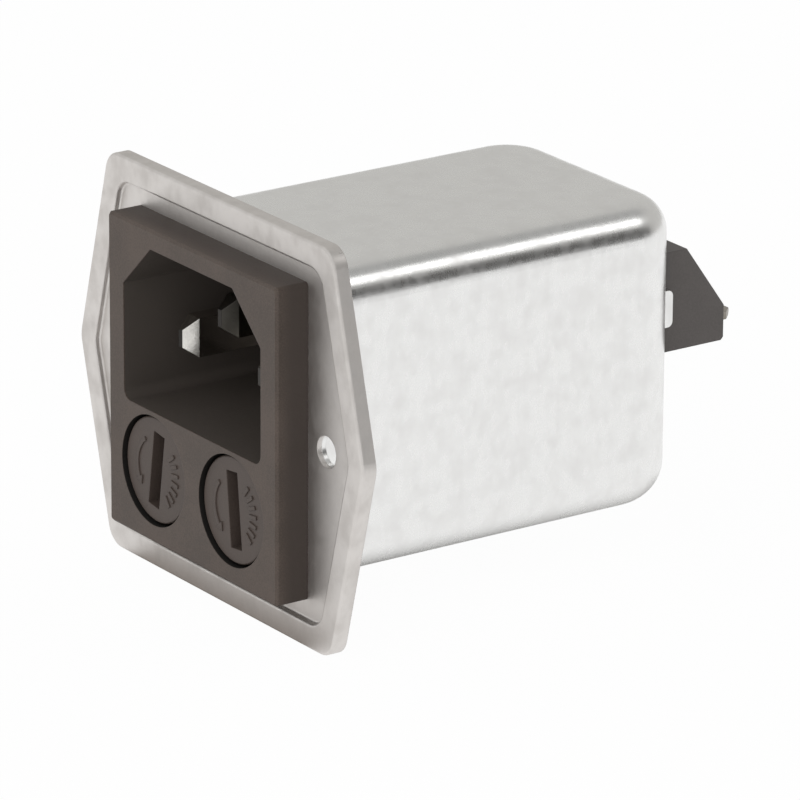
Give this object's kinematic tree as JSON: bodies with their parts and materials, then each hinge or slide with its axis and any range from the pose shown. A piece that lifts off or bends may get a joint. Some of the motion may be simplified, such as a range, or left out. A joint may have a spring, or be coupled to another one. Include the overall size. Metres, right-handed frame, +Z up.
{
  "type": "filtered iec power inlet",
  "caption": "Panel mains inlet with a recessed C14 socket, slotted fuse caps, a hexagonal metal flange and a drawn filter can with shrouded push-on terminals at the rear.",
  "frame": {"origin": "midway between the two screw holes, on the front face of the flange's sunken panel", "axes": "+X to the right seen from the front, +Y back into the equipment, +Z up"},
  "size_m": [0.0498, 0.06, 0.0412],
  "materials": {
    "plated_steel": "satin plated sheet, faintly mottled",
    "black_moulding": "fine-textured black moulding",
    "cap_moulding": "smooth black moulding",
    "plated_brass": "bright nickel plating",
    "tinned_brass": "satin tin plating",
    "board_laminate": "bare laminate",
    "ferrite": "matt sintered",
    "enamelled_wire": "glossy enamel",
    "capacitor_case": "moulded case",
    "disc_coating": "dipped coating",
    "resistor_coating": "dipped coating",
    "lead_sleeve": "smooth sleeve",
    "fuse_glass": "clear"
  },
  "bodies": {
    "inlet": {"shield_can": "plated_steel", "flange_plate": "plated_steel", "inlet_body": "black_moulding", "terminal_block": "black_moulding", "line_pin": "plated_brass", "neutral_pin": "plated_brass", "earth_pin": "plated_brass", "line_tab": "tinned_brass", "neutral_tab": "tinned_brass", "earth_tab": "tinned_brass", "earth_rivet": "tinned_brass", "earth_strap": "tinned_brass", "filter_board": "board_laminate", "choke_core": "ferrite", "choke_winding_line": "enamelled_wire", "choke_winding_neutral": "enamelled_wire", "x_capacitor": "capacitor_case", "y_capacitor_line": "disc_coating", "y_capacitor_neutral": "disc_coating", "bleed_resistor": "resistor_coating", "line_lead": "lead_sleeve", "neutral_lead": "lead_sleeve", "fuse_end_contact_left": "tinned_brass", "fuse_link_left": "tinned_brass", "fuse_end_contact_right": "tinned_brass", "fuse_link_right": "tinned_brass"},
    "fuse_left": {"fuse_glass_left": "fuse_glass", "fuse_ferrules_left": "plated_brass", "fuse_element_left": "tinned_brass"},
    "fuse_right": {"fuse_glass_right": "fuse_glass", "fuse_ferrules_right": "plated_brass", "fuse_element_right": "tinned_brass"},
    "cap_left": {"fuse_cap_left": "cap_moulding", "fuse_clip_left": "plated_brass"},
    "cap_right": {"fuse_cap_right": "cap_moulding", "fuse_clip_right": "plated_brass"}
  },
  "joints": [
    {"name": "fuse_withdraw_left", "type": "slide", "parent": "inlet", "child": "fuse_left", "axis": [0, -1, 0], "range_m": [0, 0.03]},
    {"name": "cap_turn_left", "type": "hinge", "parent": "fuse_left", "child": "cap_left", "pos_m": [-0.0069, -0.00363, -0.0086], "axis": [0, 1, 0], "range_deg": [0, 45]},
    {"name": "fuse_withdraw_right", "type": "slide", "parent": "inlet", "child": "fuse_right", "axis": [0, -1, 0], "range_m": [0, 0.03]},
    {"name": "cap_turn_right", "type": "hinge", "parent": "fuse_right", "child": "cap_right", "pos_m": [0.0069, -0.00363, -0.0086], "axis": [0, 1, 0], "range_deg": [0, 45]}
  ]
}
